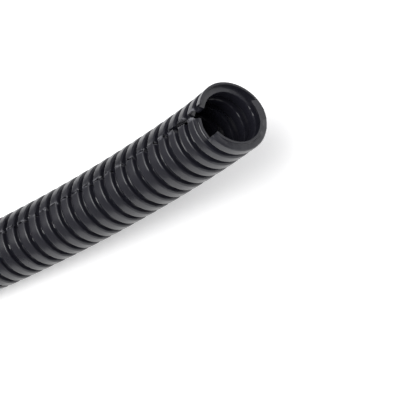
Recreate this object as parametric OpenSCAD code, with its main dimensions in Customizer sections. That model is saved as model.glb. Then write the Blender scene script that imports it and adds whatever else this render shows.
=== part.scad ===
// Split corrugated conduit, nominal size 10: a blow-moulded polyethylene tube
// whose whole wall is thrown into square ribs, slit along its length so that
// cables can be laid in from the side.
// It lies on a level floor with the slit on top. Most of it is straight, then
// it bends sideways, and its last stretch rises to the hand-cut mouth.
// Origin: centre of the square-cut end. +X runs along the bore, +Z is up.

/* [Section] */
// Diameter over the ribs
outer_d = 13; // [12.4:0.1:14]
// Clear diameter of the bore, inside the valleys
bore_d = 10; // [9.6:0.1:10.4]
// Thickness of the moulded wall
wall = 0.4; // [0.3:0.05:0.5]

/* [Corrugation] */
// Distance from one rib to the next
pitch = 3.2; // [3:0.1:3.6]
// Width of a rib over its flanks
rib_w = 2; // [1.7:0.1:2.2]
// Bevel on the two outer corners of a rib
rib_bevel = 0.3; // [0.2:0.05:0.35]

/* [Length and lie] */
// Mould runs on the straight stretch
straight_runs = 25; // [2:1:40]
// Ribs in a mould run
run_ribs = 10; // [4:1:12]
// Short runs of three ribs on the sideways bend
bend_runs = 12; // [4:1:20]
// Radius of the sideways bend, to the tube's axis
bend_r = 290; // [200:10:600]
// Ribs on the stretch that rises off the floor
rise_ribs = 21; // [10:1:30]
// Radius of the rise, to the tube's axis
rise_r = 260; // [200:10:400]
// Ribs on the tighter curl behind the mouth
curl_ribs = 5; // [3:1:8]
// How far the curl turns up, in degrees
curl_up = 11.5; // [0:0.5:14]
// How far the curl turns back against the sideways bend, in degrees
curl_back = 4; // [0:0.5:8]

/* [Slit] */
// Width of the closed slit, over the ribs
slit_w = 0.15; // [0.1:0.05:0.5]
// Width of the slit at the mouth, where it gapes
gape_w = 1.75; // [0.5:0.05:3]
// Ribs over which the gaping slit closes
gape_ribs = 5; // [2:1:10]
// Turn of the slit away from straight up, in degrees
slit_turn = -6; // [-20:1:20]

/* [Mouth] */
// Tilt of the hand-cut mouth from square, in degrees
cut_tilt = 6; // [0:1:8]
// Side on which the cut runs deepest, in degrees from straight up
cut_turn = -70; // [-90:5:90]
// How far the cut lies ahead of the last rib's front, on the axis
cut_ahead = -0.2; // [-0.3:0.1:0.4]
// Height above the axis of the flat nick that the cutter left beside the slit
nick_h = 4.9; // [4.7:0.1:6.5]
// How far the nick reaches back from the last rib's front
nick_back = 2.85; // [2.1:0.05:2.9]

/* [Hidden] */

$fa = 6;
$fs = 0.3;

bore_r = bore_d / 2;
valley_r = bore_r + wall;       // outside of the neck between two ribs
crest_r = outer_d / 2;
recess_r = crest_r - wall;      // inside of a rib
flank_r = bore_r + 0.4 * wall;  // where a flank stops, inside the neck's wall
bite = wall / 2;                // how far a neck enters the flank beside it

bend_ribs = bend_runs * 3;
bend_from = straight_runs * run_ribs * pitch;
rise_from = bend_from + bend_ribs * pitch;
curl_from = rise_from + rise_ribs * pitch;
full_length = curl_from + curl_ribs * pitch;
last_rib = full_length - pitch / 2;

// How far along a stretch the length s is, from 0 to 1
function part_of(s, from, to) = max(0, min(1, (s - from) / (to - from)));

// How far the tube has turned sideways, and upwards, at length s
function turned(s) =
    part_of(s, bend_from, rise_from) * (rise_from - bend_from) / bend_r * 180 / PI
    - part_of(s, curl_from, full_length) * curl_back;
function raised(s) =
    part_of(s, rise_from, curl_from) * (curl_from - rise_from) / rise_r * 180 / PI
    + part_of(s, curl_from, full_length) * curl_up;
function way(s) = [cos(turned(s)) * cos(raised(s)), sin(turned(s)) * cos(raised(s)), sin(raised(s))];

// The axis beyond the straight stretch, in steps of half a pitch
step = pitch / 2;
steps = 2 * (bend_ribs + rise_ribs + curl_ribs);
axis_points = [
    for (i = 0, p = [bend_from, 0, 0]; i <= steps; i = i + 1, p = p + step * way(bend_from + (i - 0.5) * step)) p
];
function axis_point(s) =
    s <= bend_from ? [s, 0, 0] : axis_points[round((s - bend_from) / step)];

// Width of the slit at length s, over the ribs
function slit_at(s) =
    slit_w + (gape_w - slit_w) * max(0, 1 - (full_length - s) / (gape_ribs * pitch));

// Outline points of one rib about y, outside from back to front, and inside
// from front to back
function rib_outside(y) = [
    [crest_r - rib_bevel, y - rib_w / 2], [crest_r, y - rib_w / 2 + rib_bevel],
    [crest_r, y + rib_w / 2 - rib_bevel], [crest_r - rib_bevel, y + rib_w / 2]
];
function rib_inside(y) = [
    [recess_r, y + rib_w / 2 - wall], [recess_r, y - rib_w / 2 + wall]
];

// Turns an outline about the tube's axis, open on top where the slit is
module open_turn(gap) {
    gap_angle = gap / crest_r * 180 / PI;
    rotate([0, 90, 0])
        rotate_extrude(angle = 360 - gap_angle, start = 180 + slit_turn + gap_angle / 2)
            children();
}

// Sets a piece on the axis at length s, square to it
module on_axis(s) {
    translate(axis_point(s)) rotate([0, -raised(s), turned(s)]) children();
}

// A run of ribs with the necks between them, from the middle of its first rib.
// Both ends stop at a flank, which a neck then enters.
module rib_run(count, gap) {
    first = -rib_w / 2;
    last = (count - 1) * pitch + rib_w / 2;
    open_turn(gap) polygon([
        [flank_r, first],
        for (i = [0:count - 1]) each concat(
            i > 0 ? [[valley_r, i * pitch - rib_w / 2]] : [],
            rib_outside(i * pitch),
            i < count - 1 ? [[valley_r, i * pitch + rib_w / 2]] : []
        ),
        [flank_r, last], [flank_r, last - wall],
        for (i = [count - 1:-1:0]) each concat(
            i < count - 1 ? [[bore_r, i * pitch + rib_w / 2 - wall]] : [],
            rib_inside(i * pitch),
            i > 0 ? [[bore_r, i * pitch - rib_w / 2 + wall]] : []
        ),
        [flank_r, first + wall]
    ]);
}

// The neck between two ribs, from one length to another about its middle
neck_reach = (pitch - rib_w) / 2 + bite;
module neck(gap, from = -neck_reach, to = neck_reach) {
    open_turn(gap * 1.06) translate([bore_r, from]) square([wall, to - from]);
}

// What the cutter took off: everything ahead of the mouth, and a flat nick
// beside the slit, back to the rib behind
module mouth_cut() {
    on_axis(last_rib) translate([rib_w / 2, 0, 0]) {
        translate([cut_ahead, 0, 0]) rotate([cut_turn, 0, 0]) rotate([0, -cut_tilt, 0])
            translate([0, -outer_d, -outer_d]) cube(2 * outer_d);
        translate([-nick_back, -outer_d, nick_h]) cube([outer_d, outer_d + nick_edge, outer_d]);
    }
}
nick_edge = -crest_r * sin(slit_turn);

// The straight stretch, in runs such as one pair of mould blocks forms
module straight_stretch() {
    neck(slit_w, from = 0);
    for (i = [0:straight_runs - 1]) {
        on_axis((i * run_ribs + 0.5) * pitch) rib_run(run_ribs, slit_w);
        if (i > 0) on_axis(i * run_ribs * pitch) neck(slit_w);
    }
}

// The sideways bend, in short runs, each straight in itself
module sideways_bend() {
    for (i = [0:bend_runs - 1]) {
        on_axis(bend_from + 3 * i * pitch) neck(slit_w);
        on_axis(bend_from + (3 * i + 1.5) * pitch)
            translate([-pitch, 0, 0]) rib_run(3, slit_w);
    }
}

// The rise and the curl, rib by rib, without the last rib
module raised_end() {
    for (i = [0:rise_ribs + curl_ribs - 2]) {
        s = rise_from + i * pitch;
        on_axis(s) neck(slit_at(s));
        on_axis(s + pitch / 2) rib_run(1, slit_at(s + pitch / 2));
    }
}

// The last rib with the necks on both its sides
module last_turn() {
    on_axis(full_length - pitch) neck(slit_at(full_length - pitch));
    on_axis(last_rib) rib_run(1, slit_at(last_rib));
    on_axis(full_length) neck(slit_at(full_length));
}

module conduit() {
    color([0.13, 0.13, 0.15]) {
        straight_stretch();
        sideways_bend();
        raised_end();
        difference() {
            last_turn();
            mouth_cut();
        }
    }
}

conduit();
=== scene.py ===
import math

import bpy
from mathutils import Euler, Matrix, Vector


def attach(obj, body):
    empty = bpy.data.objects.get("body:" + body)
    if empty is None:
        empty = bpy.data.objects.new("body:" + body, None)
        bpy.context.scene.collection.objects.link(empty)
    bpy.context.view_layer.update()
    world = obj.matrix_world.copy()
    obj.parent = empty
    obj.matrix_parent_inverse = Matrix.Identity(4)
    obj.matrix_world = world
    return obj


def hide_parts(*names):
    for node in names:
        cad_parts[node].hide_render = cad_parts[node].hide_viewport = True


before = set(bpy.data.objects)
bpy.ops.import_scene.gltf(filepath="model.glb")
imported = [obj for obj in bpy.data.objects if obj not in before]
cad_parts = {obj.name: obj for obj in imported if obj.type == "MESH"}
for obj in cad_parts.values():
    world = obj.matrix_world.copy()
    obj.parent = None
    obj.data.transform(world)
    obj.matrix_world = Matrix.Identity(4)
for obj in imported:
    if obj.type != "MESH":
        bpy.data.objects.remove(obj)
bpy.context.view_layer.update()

# ---- Sizes, in millimetres --------------------------------------------------
BORE_R = 5.0
WALL = 0.4
VALLEY_R = BORE_R + WALL
CREST_R = 6.5
PITCH = 3.2
RIB_W = 2.0
RIB_BEVEL = 0.34
ROOT_BEVEL = 0.12
NECK_BEVEL = 0.2

STRAIGHT_RIBS = 250
BEND_RIBS = 36
BEND_R = 290.0
RISE_RIBS = 21
RISE_R = 260.0
CURL_RIBS = 5
CURL_UP = 11.5
CURL_BACK = 4.0
RIBS = STRAIGHT_RIBS + BEND_RIBS + RISE_RIBS + CURL_RIBS
LENGTH = RIBS * PITCH

FINE_RIBS = 22          # ribs behind the mouth that are modelled finely
FINE_SEGMENTS = 96
STOCK_SEGMENTS = 14     # few, because the stock has hundreds of ribs

SLIT_W = 0.15
SLIT_TURN = -6.0        # degrees from straight up, positive towards -Y
GAPE_W = 1.75
GAPE_RIBS = 5

CUT_TILT = 6.0
CUT_TURN = -70.0
CUT_AHEAD = -0.2
NICK_SPAN = 50.0        # degrees from the slit's line
NICK_BACK = 2.85

LIP_DEPTH = 0.5         # how far below the crests a lip is still reckoned
LIP_SECTOR = 40         # degrees either side of the slit where the lips are
RAGGED = 0.22           # how far the knife pushed a lip out of line
WHITENED_AND_GLINT_REACH = 0.23   # width of the whitened plastic beside the slit, which also carries a painted highlight


# ---- Modelling helpers ------------------------------------------------------
def clear_selection():
    if bpy.context.object and bpy.context.object.mode == "EDIT":
        bpy.ops.object.mode_set(mode="OBJECT")
    bpy.ops.object.select_all(action="DESELECT")


def edit(obj):
    clear_selection()
    bpy.context.view_layer.objects.active = obj
    obj.select_set(True)
    bpy.ops.object.mode_set(mode="EDIT")


def pick(obj, faces=None, edges=None, verts=None):
    """Selects the elements of a mesh for which the given test holds."""
    bpy.ops.object.mode_set(mode="EDIT")
    mode = "FACE" if faces else "EDGE" if edges else "VERT"
    bpy.ops.mesh.select_mode(type=mode)
    bpy.ops.mesh.select_all(action="DESELECT")
    bpy.ops.object.mode_set(mode="OBJECT")
    mesh = obj.data
    if faces:
        for f in mesh.polygons:
            f.select = bool(faces(f))
    if edges:
        for e in mesh.edges:
            a, b = (mesh.vertices[i].co for i in e.vertices)
            e.select = bool(edges(a, b))
    if verts:
        for v in mesh.vertices:
            v.select = bool(verts(v.co))
    bpy.ops.object.mode_set(mode="EDIT")


def finish_modifier(obj, modifier):
    clear_selection()
    bpy.context.view_layer.objects.active = obj
    obj.select_set(True)
    bpy.ops.object.modifier_apply(modifier=modifier.name)


def radius(co):
    return math.hypot(co.y, co.z)


def off_slit(co):
    """Angle about the axis from the slit's line, in degrees, positive towards -Y."""
    angle = math.degrees(math.atan2(-co.y, co.z)) - SLIT_TURN
    return (angle + 180) % 360 - 180


def near(a, b, slack=0.01):
    return abs(a - b) < slack


# ---- The conduit, one pitch at a time ---------------------------------------
def one_pitch(name, segments, corner_steps, root_steps):
    """One rib with half a neck on each side, split along the slit's line."""
    clear_selection()
    bpy.ops.mesh.primitive_cylinder_add(
        vertices=segments, radius=VALLEY_R, depth=PITCH, end_fill_type="NOTHING",
        location=(PITCH / 2, 0, 0), rotation=(0, math.pi / 2, 0))
    obj = bpy.context.object
    obj.name = name
    bpy.ops.object.transform_apply(location=True, rotation=True, scale=True)
    # turn a lengthwise edge to the slit's line
    line = min((off_slit(v.co) for v in obj.data.vertices), key=abs)
    turn = math.radians(-line)
    c, s = math.cos(turn), math.sin(turn)
    for v in obj.data.vertices:
        y, z = v.co.y, v.co.z
        v.co.y, v.co.z = y * c - z * s, y * s + z * c
    edit(obj)
    # the flanks' places
    low, high = (PITCH - RIB_W) / 2, (PITCH + RIB_W) / 2
    for x in (low, high):
        bpy.ops.mesh.select_all(action="SELECT")
        bpy.ops.mesh.bisect(plane_co=(x, 0, 0), plane_no=(1, 0, 0), threshold=0.0001)
    # the rib stands out of the neck
    pick(obj, faces=lambda f: abs(f.center.x - PITCH / 2) < RIB_W / 2)
    bpy.ops.mesh.extrude_region_move()
    grow = CREST_R / VALLEY_R
    bpy.ops.transform.resize(value=(1, grow, grow), center_override=(PITCH / 2, 0, 0))
    # the slit, opened along its line
    pick(obj, edges=lambda a, b: abs(off_slit(a)) < 0.5 and abs(off_slit(b)) < 0.5)
    bpy.ops.mesh.bevel(offset=SLIT_W / 2, offset_type="OFFSET", segments=1)
    half = math.degrees(SLIT_W / VALLEY_R)
    pick(obj, faces=lambda f: all(abs(off_slit(obj.data.vertices[i].co)) < half
                                  for i in f.vertices))
    bpy.ops.mesh.delete(type="FACE")
    bpy.ops.object.mode_set(mode="OBJECT")
    # the wall
    wall = obj.modifiers.new("wall", "SOLIDIFY")
    wall.thickness = WALL
    wall.offset = -1
    wall.use_even_offset = True
    wall.use_rim = True
    finish_modifier(obj, wall)
    pick(obj, faces=lambda f: near(f.center.x, 0) or near(f.center.x, PITCH))
    bpy.ops.mesh.delete(type="ONLY_FACE")
    # rounded corners of the rib, and the roots of its flanks
    pick(obj, edges=lambda a, b: near(a.x, b.x) and (near(a.x, low) or near(a.x, high))
         and radius(a) > CREST_R - 0.05 and radius(b) > CREST_R - 0.05)
    bpy.ops.mesh.bevel(offset=RIB_BEVEL, offset_type="OFFSET", segments=corner_steps)
    if root_steps:
        pick(obj, edges=lambda a, b: near(a.x, b.x) and (near(a.x, low) or near(a.x, high))
             and near(radius(a), VALLEY_R, 0.05) and near(radius(b), VALLEY_R, 0.05))
        bpy.ops.mesh.bevel(offset=ROOT_BEVEL, offset_type="OFFSET", segments=root_steps)
        # soft inner corners of the necks, which shine inside the mouth
        pick(obj, edges=lambda a, b: near(a.x, b.x)
             and (near(a.x, low + WALL) or near(a.x, high - WALL))
             and near(radius(a), BORE_R, 0.05) and near(radius(b), BORE_R, 0.05))
        bpy.ops.mesh.bevel(offset=NECK_BEVEL, offset_type="OFFSET", segments=2)
    bpy.ops.object.mode_set(mode="OBJECT")
    return obj


def length_of_ribs(name, count, start, segments, corner_steps, root_steps):
    """A straight length of conduit with closed ends, from start along +X."""
    obj = one_pitch(name, segments, corner_steps, root_steps)
    row = obj.modifiers.new("row", "ARRAY")
    row.count = count
    row.use_relative_offset = False
    row.use_constant_offset = True
    row.constant_offset_displace = (PITCH, 0, 0)
    row.use_merge_vertices = True
    row.merge_threshold = 0.005
    finish_modifier(obj, row)
    for end in (0, count * PITCH):
        pick(obj, edges=lambda a, b: near(a.x, end) and near(b.x, end)
             and near(radius(a), radius(b), 0.02))
        bpy.ops.mesh.bridge_edge_loops()
    edit(obj)
    bpy.ops.mesh.select_all(action="SELECT")
    bpy.ops.mesh.normals_make_consistent(inside=False)
    bpy.ops.transform.translate(value=(start, 0, 0))
    bpy.ops.object.mode_set(mode="OBJECT")
    return obj


def cut_away(obj, cutter):
    """Takes the cutter's shape out of a piece, and the cutter out of the scene."""
    cut = obj.modifiers.new("cut", "BOOLEAN")
    cut.operation = "DIFFERENCE"
    cut.solver = "EXACT"
    cut.object = cutter
    finish_modifier(obj, cut)
    bpy.data.objects.remove(cutter)


def block(corner, size):
    """A cutter with one corner and its size given."""
    clear_selection()
    centre = [c + s / 2 for c, s in zip(corner, size)]
    bpy.ops.mesh.primitive_cube_add(size=1, location=centre, scale=size)
    bpy.ops.object.transform_apply(location=True, rotation=True, scale=True)
    return bpy.context.object


def turn_block(obj, turn, about):
    """Turns a cutter's mesh by an Euler turn, in degrees, about a point."""
    about = Vector(about)
    spin = Euler([math.radians(a) for a in turn]).to_matrix()
    for v in obj.data.vertices:
        v.co = spin @ (v.co - about) + about


# ---- Mouth end --------------------------------------------------------------
fine_from = (RIBS - FINE_RIBS) * PITCH
mouth_end = length_of_ribs("conduit", FINE_RIBS, fine_from, FINE_SEGMENTS,
                           corner_steps=3, root_steps=1)

front = LENGTH - (PITCH - RIB_W) / 2    # front face of the last rib

# the slit gapes at the mouth
gape_from = LENGTH - GAPE_RIBS * PITCH
wedge = block((gape_from, -0.5, 0), (GAPE_RIBS * PITCH + 1, 1, 10))
for v in wedge.data.vertices:
    v.co.y = math.copysign(SLIT_W / 2 if v.co.x < gape_from + 1 else GAPE_W / 2, v.co.y)
turn_block(wedge, (SLIT_TURN, 0, 0), (LENGTH, 0, 0))
cut_away(mouth_end, wedge)

# the hand-cut face, tilted from square
face = block((0, -10, -10), (20, 20, 20))
turn_block(face, (0, -CUT_TILT, 0), (0, 0, 0))
turn_block(face, (CUT_TURN, 0, 0), (0, 0, 0))
for v in face.data.vertices:
    v.co.x += front + CUT_AHEAD
cut_away(mouth_end, face)

# the nick beside the slit, back to the rib behind
nick = block((front - NICK_BACK, -1, 3), (12, 2, 7))
for v in nick.data.vertices:
    v.co.y = math.copysign(v.co.z * math.tan(math.radians(NICK_SPAN / 2)), v.co.y)
turn_block(nick, (SLIT_TURN + NICK_SPAN / 2, 0, 0), (0, 0, 0))
cut_away(mouth_end, nick)


def opened(x):
    """How far along the gape a place is: 0 behind it, 1 at the mouth."""
    return max(0.0, (x - gape_from) / (GAPE_RIBS * PITCH))


def beside_slit(co, reach):
    """True on the crests' lips, up to the given reach from the slit's line."""
    return (radius(co) > CREST_R - LIP_DEPTH and abs(off_slit(co)) < LIP_SECTOR
            and abs(radius(co) * math.sin(math.radians(off_slit(co)))) < reach)


def on_ragged_lip(co):
    half_gap = (SLIT_W + (GAPE_W - SLIT_W) * opened(co.x)) / 2
    return co.x < front - 2.5 and beside_slit(co, half_gap + 0.06)


# The knife left the slit's lips ragged on every rib. The seed fixes the draws but
# not which lip gets which, because that follows the order of the vertices, and
# the bevels above can leave them in more than one order.
pick(mouth_end, verts=on_ragged_lip)
bpy.ops.transform.vertex_random(offset=RAGGED, uniform=0.8, normal=0.2, seed=11)
bpy.ops.object.mode_set(mode="OBJECT")

# ---- Rest of the length -----------------------------------------------------
stock = length_of_ribs("stock", RIBS - FINE_RIBS, 0, STOCK_SEGMENTS,
                       corner_steps=1, root_steps=0)
clear_selection()
stock.select_set(True)
mouth_end.select_set(True)
bpy.context.view_layer.objects.active = mouth_end
bpy.ops.object.join()
conduit = mouth_end

# the plastic is whitened where the blade opened it, and the same mark carries a painted
# highlight on the cut lips: 1 on the lips of the slit in the finely made ribs, 0 elsewhere
whitened_and_glint = conduit.data.attributes.new("whitened_and_glint", "FLOAT", "POINT")
for v, mark in zip(conduit.data.vertices, whitened_and_glint.data):
    reach = WHITENED_AND_GLINT_REACH + opened(v.co.x) * GAPE_W / 2
    mark.value = float(v.co.x > fine_from and beside_slit(v.co, reach))


# ---- The way it lies --------------------------------------------------------
def part_of(s, start, end):
    return max(0.0, min(1.0, (s - start) / (end - start)))


bend_from = STRAIGHT_RIBS * PITCH
rise_from = bend_from + BEND_RIBS * PITCH
curl_from = rise_from + RISE_RIBS * PITCH


def way(s):
    """Direction of the axis at length s."""
    turned = part_of(s, bend_from, rise_from) * (rise_from - bend_from) / BEND_R
    turned -= part_of(s, curl_from, LENGTH) * math.radians(CURL_BACK)
    raised = part_of(s, rise_from, curl_from) * (curl_from - rise_from) / RISE_R
    raised += part_of(s, curl_from, LENGTH) * math.radians(CURL_UP)
    return Vector((math.cos(turned) * math.cos(raised),
                   math.sin(turned) * math.cos(raised), math.sin(raised)))


step = PITCH / 2
axis = [Vector((0, 0, 0)), Vector((bend_from - step, 0, 0)), Vector((bend_from, 0, 0))]
for i in range(2 * (RIBS - STRAIGHT_RIBS)):
    axis.append(axis[-1] + step * way(bend_from + (i + 0.5) * step))
axis.append(axis[-1] + 8 * way(LENGTH))

guide_data = bpy.data.curves.new("lie", "CURVE")
guide_data.dimensions = "3D"
guide_data.twist_mode = "Z_UP"
line = guide_data.splines.new("POLY")
line.points.add(len(axis) - 1)
for point, co in zip(line.points, axis):
    point.co = (*co, 1)
guide = bpy.data.objects.new("lie", guide_data)
bpy.context.collection.objects.link(guide)

lie = conduit.modifiers.new("lie", "CURVE")
lie.object = guide
lie.deform_axis = "POS_X"
finish_modifier(conduit, lie)
bpy.data.objects.remove(guide)

# to metres
edit(conduit)
bpy.ops.mesh.select_all(action="SELECT")
bpy.ops.transform.resize(value=(0.001, 0.001, 0.001), center_override=(0, 0, 0))
bpy.ops.object.mode_set(mode="OBJECT")
bpy.ops.object.shade_smooth_by_angle(angle=math.radians(40))
flats = conduit.modifiers.new("flats", "WEIGHTED_NORMAL")
flats.keep_sharp = True
flats.weight = 80
finish_modifier(conduit, flats)


# ---- Materials --------------------------------------------------------------
class Shader:
    """A material's node tree, built from expressions."""

    def __init__(self, name):
        self.material = bpy.data.materials.new(name)
        self.material.use_nodes = True
        self.tree = self.material.node_tree
        self.tree.nodes.clear()

    def node(self, kind, settings=None, out=0, **values):
        """Adds a node. Its sockets are given by name, or as i0, i1 by number."""
        made = self.tree.nodes.new(kind)
        for key, value in (settings or {}).items():
            setattr(made, key, value)
        for key, value in values.items():
            numbered = key[0] == "i" and key[1:].isdigit()
            socket = made.inputs[int(key[1:]) if numbered else key.replace("_", " ")]
            if isinstance(value, Value):
                self.tree.links.new(value.socket, socket)
            else:
                socket.default_value = value
        return Value(self, made.outputs[out]) if made.outputs else made


class Value:
    """An output socket that adds Math nodes when it is used in sums."""

    def __init__(self, shader, socket):
        self.shader, self.socket = shader, socket

    def _maths(self, operation, a, b):
        return self.shader.node("ShaderNodeMath", {"operation": operation}, i0=a, i1=b)

    def __add__(self, other): return self._maths("ADD", self, other)
    def __radd__(self, other): return self._maths("ADD", other, self)
    def __mul__(self, other): return self._maths("MULTIPLY", self, other)
    def __rmul__(self, other): return self._maths("MULTIPLY", other, self)


def black_polyethylene():
    s = Shader("black_polyethylene")
    place = s.node("ShaderNodeTexCoord", out=3)
    cloud = s.node("ShaderNodeTexNoise", Vector=place, Scale=120.0, Detail=3.0)
    grain = s.node("ShaderNodeTexNoise", Vector=place, Scale=2600.0, Detail=2.0)
    dark, light = (0.009, 0.009, 0.0135, 1), (0.016, 0.016, 0.0225, 1)
    colour = s.node("ShaderNodeMix", {"data_type": "RGBA"}, out=2, i0=cloud, i6=dark, i7=light)
    # the cut lips are whitened and lightened further by a painted highlight, in places more
    # than in others
    lips = s.node("ShaderNodeAttribute", {"attribute_name": "whitened_and_glint"}, out=2)
    patchy = s.node("ShaderNodeTexNoise", Vector=place, Scale=900.0, Detail=1.0)
    strained_and_glint = lips * s.node("ShaderNodeMapRange", Value=patchy, From_Min=0.42, From_Max=0.62)
    # grey of the whitened lips, raised to a painted highlight
    colour = s.node("ShaderNodeMix", {"data_type": "RGBA"}, out=2,
                    i0=strained_and_glint, i6=colour, i7=(0.15, 0.15, 0.165, 1))
    rough = 0.22 + 0.10 * cloud + 0.05 * grain + 0.15 * strained_and_glint
    bump = s.node("ShaderNodeBump", Strength=0.35, Distance=0.00004, Height=grain)
    surface = s.node("ShaderNodeBsdfPrincipled",
                     Base_Color=colour, Roughness=rough, Normal=bump, IOR=1.52)
    s.node("ShaderNodeOutputMaterial", Surface=surface)
    return s.material


conduit.data.materials.clear()
conduit.data.materials.append(black_polyethylene())
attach(conduit, "root")
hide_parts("conduit")

# ---- Floor, light and camera ------------------------------------------------
FLOOR_GAP = 0.00005     # keeps the floor clear of the ribs, in metres
FLOOR_GLOW = 0.4        # brings the floor up to white for the eye, not for the part

clear_selection()
bpy.ops.mesh.primitive_plane_add(size=8, location=(0.5, 0, -CREST_R / 1000 - FLOOR_GAP))
floor = bpy.context.object
floor.name = "floor"
s = Shader("pale_floor")
seen = s.node("ShaderNodeLightPath", out=0)
mirrored = s.node("ShaderNodeLightPath", out=3)
matte = s.node("ShaderNodeBsdfDiffuse", Color=(0.8, 0.8, 0.8, 1))
glow = s.node("ShaderNodeEmission", Color=(1, 1, 1, 1),
              Strength=FLOOR_GLOW * seen + FLOOR_GLOW * mirrored)
both = s.node("ShaderNodeAddShader", i0=matte, i1=glow)
s.node("ShaderNodeOutputMaterial", Surface=both)
floor.data.materials.append(s.material)

world = bpy.data.worlds.new("studio")
bpy.context.scene.world = world
world.use_nodes = True
tree = world.node_tree
path = tree.nodes.new("ShaderNodeLightPath")
room = tree.nodes["Background"]
room.inputs["Color"].default_value = (0.30, 0.30, 0.31, 1)
white = tree.nodes.new("ShaderNodeBackground")
white.inputs["Color"].default_value = (1, 1, 1, 1)
choose = tree.nodes.new("ShaderNodeMixShader")
tree.links.new(path.outputs["Is Camera Ray"], choose.inputs[0])
tree.links.new(room.outputs[0], choose.inputs[1])
tree.links.new(white.outputs[0], choose.inputs[2])
tree.links.new(choose.outputs[0], tree.nodes["World Output"].inputs["Surface"])


def softbox(name, place, aim, size, watts):
    """A rectangular lamp at a place, turned to face the point it aims at."""
    data = bpy.data.lights.new(name, "AREA")
    data.shape = "RECTANGLE"
    data.size, data.size_y = size
    data.energy = watts
    lamp = bpy.data.objects.new(name, data)
    bpy.context.collection.objects.link(lamp)
    lamp.location = place
    lamp.rotation_mode = "QUATERNION"
    lamp.rotation_quaternion = (Vector(aim) - Vector(place)).to_track_quat("-Z", "Y")


softbox("overhead", (0.50, 0.05, 1.20), (0.50, 0.05, 0), (1.6, 1.6), 11.0)
softbox("key", (1.13, 0.00, 0.45), (0.96, 0.05, 0), (0.30, 0.30), 1.5)

camera_data = bpy.data.cameras.new("camera")
camera_data.lens = 124.983
camera_data.sensor_width = 36
camera_data.clip_start = 0.01
camera = bpy.data.objects.new("camera", camera_data)
bpy.context.collection.objects.link(camera)
camera.location = (1.12551, -0.00139, 0.19482)
right = Vector((0.79140, 0.18759, -0.58181))
up = Vector((-0.04599, 0.96733, 0.24932))
back = right.cross(up)
camera.rotation_mode = "QUATERNION"
camera.rotation_quaternion = Matrix((right, up, back)).transposed().to_quaternion()
bpy.context.scene.camera = camera
bpy.context.scene.view_settings.view_transform = "Standard"
